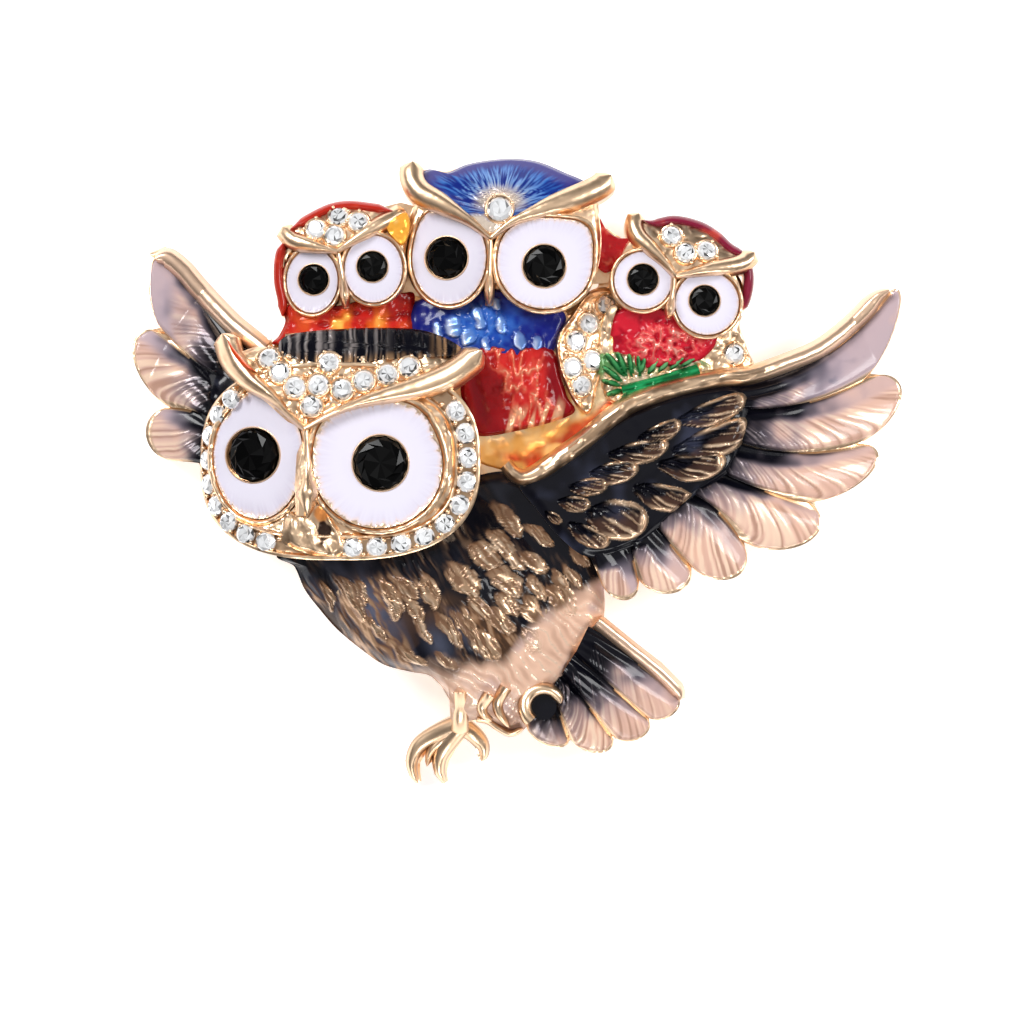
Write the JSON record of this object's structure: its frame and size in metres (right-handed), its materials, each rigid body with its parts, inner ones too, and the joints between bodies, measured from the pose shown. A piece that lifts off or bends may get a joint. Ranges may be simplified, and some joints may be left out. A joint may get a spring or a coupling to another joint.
{
  "type": "figural animal brooch",
  "caption": "Figural brooch of a large flying owl carrying small owlets on her back, a gold-toned casting with enamel cells, faceted eyes and clear stones, and a straight bar pin behind.",
  "frame": {"origin": "centre of the bounding box in plan, on the surface that the brooch lies on with its back down", "axes": "+X to the wearer's left (the right of the front view, towards the large wing), +Y up the front view (towards the owlets), +Z out of the front"},
  "size_m": [0.0619, 0.0504, 0.0123],
  "materials": {
    "gold_casting": "cast relief, gold plated, polished",
    "pin_steel": "drawn and polished",
    "black_enamel": "glossy cold enamel",
    "blush_enamel": "translucent cold enamel, smoky at the roots",
    "white_enamel": "glossy cold enamel",
    "blue_enamel": "translucent cold enamel",
    "red_enamel": "translucent cold enamel",
    "green_enamel": "translucent cold enamel",
    "jet_stone": "faceted and polished",
    "clear_stone": "faceted and polished, foil backed"
  },
  "bodies": {
    "root": {"casting": "gold_casting", "bar_pin": "pin_steel", "body_enamel": "black_enamel", "nape_enamel": "black_enamel", "wing_enamel": "black_enamel", "primary_1": "blush_enamel", "primary_2": "blush_enamel", "primary_3": "blush_enamel", "primary_4": "blush_enamel", "primary_5": "blush_enamel", "primary_6": "blush_enamel", "primary_7": "blush_enamel", "left_primary_1": "blush_enamel", "left_primary_2": "blush_enamel", "left_primary_3": "blush_enamel", "tail_feather_1": "blush_enamel", "tail_feather_2": "blush_enamel", "tail_feather_3": "blush_enamel", "tail_feather_4": "blush_enamel", "mother_eye_left": "white_enamel", "mother_pupil_left": "jet_stone", "mother_eye_right": "white_enamel", "mother_pupil_right": "jet_stone", "middle_owlet_eye_left": "white_enamel", "middle_owlet_pupil_left": "jet_stone", "middle_owlet_eye_right": "white_enamel", "middle_owlet_pupil_right": "jet_stone", "left_owlet_eye_left": "white_enamel", "left_owlet_pupil_left": "jet_stone", "left_owlet_eye_right": "white_enamel", "left_owlet_pupil_right": "jet_stone", "right_owlet_eye_left": "white_enamel", "right_owlet_pupil_left": "jet_stone", "right_owlet_eye_right": "white_enamel", "right_owlet_pupil_right": "jet_stone", "middle_owlet_cap": "blue_enamel", "middle_owlet_breast": "blue_enamel", "middle_owlet_belly": "red_enamel", "left_owlet_breast": "red_enamel", "right_owlet_breast": "red_enamel", "branch": "green_enamel", "halo_stones_right": "clear_stone", "halo_stones_left": "clear_stone", "brow_stones": "clear_stone", "middle_brow_stone": "clear_stone", "middle_wing_stones": "clear_stone", "left_crown_stones": "clear_stone", "right_crown_stones": "clear_stone", "right_wing_stone": "clear_stone"}
  },
  "joints": []
}
